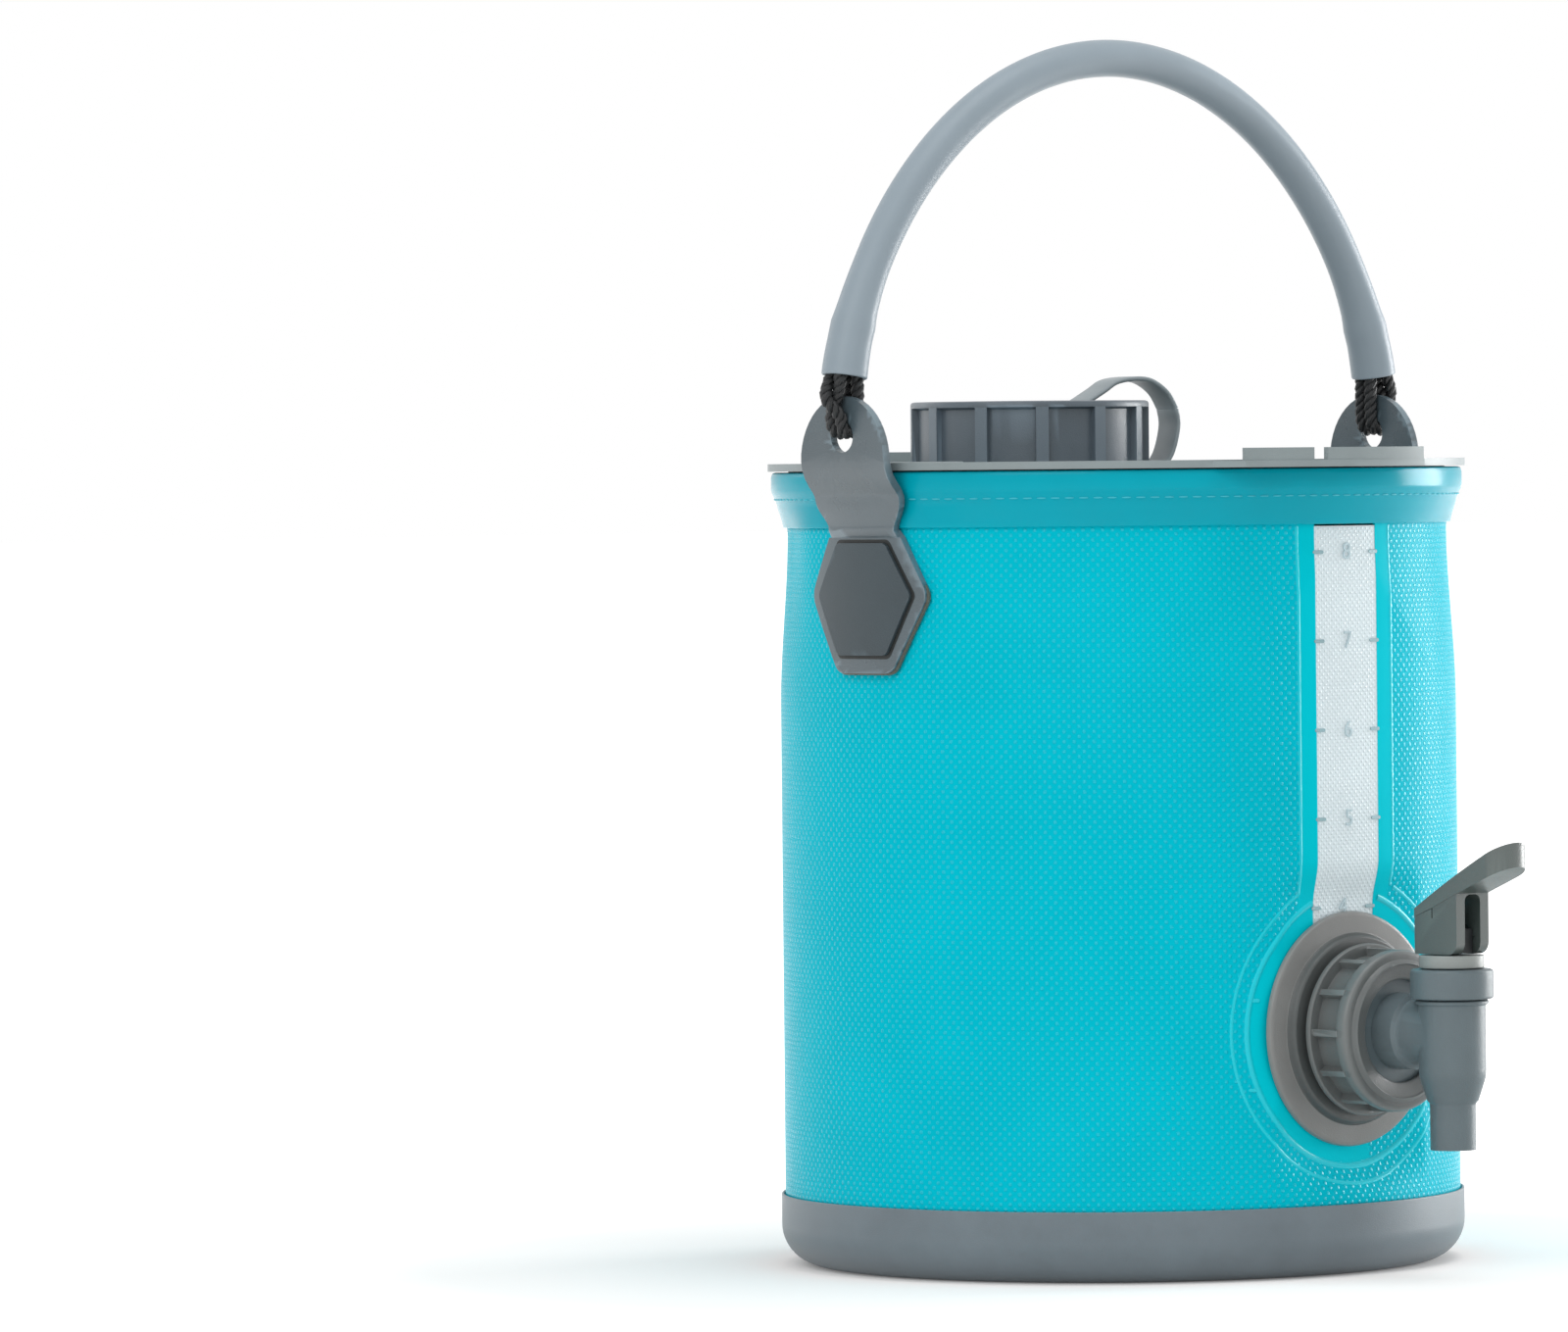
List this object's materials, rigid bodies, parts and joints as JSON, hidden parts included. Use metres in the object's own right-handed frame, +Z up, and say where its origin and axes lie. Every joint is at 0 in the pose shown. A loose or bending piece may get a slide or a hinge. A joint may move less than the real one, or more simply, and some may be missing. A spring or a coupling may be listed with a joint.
{
  "type": "collapsible water carrier",
  "caption": "Round fabric-walled water bucket that folds down, with a moulded base, a lid with a screw cap and tap well, a rope handle with a grip and a lever tap low on its side.",
  "frame": {"origin": "centre of the base's underside, where the carrier stands", "axes": "+Z up along the bucket's axis, -Y out along the tap's stem, X through the two handle lugs"},
  "size_m": [0.247, 0.2896, 0.3872],
  "materials": {
    "grey_plastic": "satin, fine grain",
    "dark_plastic": "satin",
    "pad_rubber": "matt",
    "grey_rubber": "matt",
    "seal_rubber": "smooth",
    "teal_fabric": "coated, embossed with small dots",
    "teal_band": "coated, smooth, stitched",
    "clear_film": "clear, lightly frosted",
    "grip_tube": "smooth, soft sheen",
    "black_rope": "twisted cord",
    "warm_plastic": "satin",
    "tap_plastic": "satin",
    "lever_plastic": "satin",
    "pale_plastic": "satin",
    "steel": "brushed"
  },
  "bodies": {
    "base": {"base_cup": "grey_plastic", "wall": "teal_fabric", "window": "clear_film", "port_fitting": "warm_plastic", "port_gasket": "seal_rubber", "port_nut": "dark_plastic"},
    "rim": {"hem_band": "teal_band", "rim_hoop": "grey_plastic", "lug_left": "dark_plastic", "lug_right": "dark_plastic", "lug_pad_left": "pad_rubber", "lug_pad_right": "pad_rubber"},
    "handle": {"handle_grip": "grip_tube", "handle_rope": "black_rope"},
    "lid": {"lid": "grey_plastic", "lid_seal": "seal_rubber", "cap_tether": "grey_rubber"},
    "vent": {"vent_valve": "grey_plastic"},
    "seal": {"cap_seal": "seal_rubber"},
    "pin": {"cap_pin": "grey_plastic"},
    "cap": {"screw_cap": "grey_plastic"},
    "tap": {"tap_body": "tap_plastic", "tap_bonnet": "tap_plastic", "tap_collar": "pale_plastic", "tap_washer": "seal_rubber"},
    "nut": {"tap_nut": "warm_plastic"},
    "lever": {"tap_lever": "lever_plastic", "lever_pin": "steel"},
    "valve": {"valve_stem": "pale_plastic", "seat_cup": "seal_rubber"}
  },
  "joints": [
    {"name": "collapse", "type": "slide", "parent": "base", "child": "rim", "axis": [0, 0, 1], "range_m": [-0.118, 0], "deforming": ["wall", "window"]},
    {"name": "handle_swing", "type": "hinge", "parent": "rim", "child": "handle", "pos_m": [0, 0, 0.262], "axis": [1, 0, 0], "range_deg": [-80, 80]},
    {"name": "lid_lift", "type": "slide", "parent": "rim", "child": "lid", "axis": [0, 0, 1], "range_m": [0, 0.016]},
    {"name": "vent_lift", "type": "slide", "parent": "lid", "child": "vent", "axis": [0, 0, 1], "range_m": [0, 0.004]},
    {"name": "cap_lift", "type": "slide", "parent": "lid", "child": "seal", "axis": [0, 0, 1], "range_m": [0, 0.02], "deforming": ["cap_tether"]},
    {"name": "cap_rise", "type": "slide", "parent": "seal", "child": "pin", "axis": [0, 0, 1], "range_m": [0, 0.0091], "deforming": ["cap_tether"]},
    {"name": "cap_turn", "type": "hinge", "parent": "pin", "child": "cap", "pos_m": [0.00607, 0.0461, 0.262], "axis": [0, 0, 1], "range_deg": [0, 540]},
    {"name": "tap_off", "type": "slide", "parent": "base", "child": "tap", "axis": [0, -1, 0], "range_m": [0, 0.0121]},
    {"name": "nut_turn", "type": "hinge", "parent": "tap", "child": "nut", "pos_m": [0, -0.117, 0.0766], "axis": [0, -1, 0], "range_deg": [0, 1080]},
    {"name": "lever_press", "type": "hinge", "parent": "tap", "child": "lever", "pos_m": [0, -0.1522, 0.101], "axis": [1, 0, 0], "range_deg": [0, 25], "stiffness_Nm_per_rad": 0.25, "springref_deg": -20.05},
    {"name": "stem_lift", "type": "slide", "parent": "tap", "child": "valve", "axis": [0, 0, 1], "range_m": [0, 0.0026]}
  ],
  "couplings": [
    {"joint": "cap_rise", "follows": "cap_turn", "m_per_rad": 0.00095493},
    {"joint": "tap_off", "follows": "nut_turn", "m_per_rad": 0.00063662},
    {"joint": "stem_lift", "follows": "lever_press", "m_per_rad": 0.0057}
  ]
}
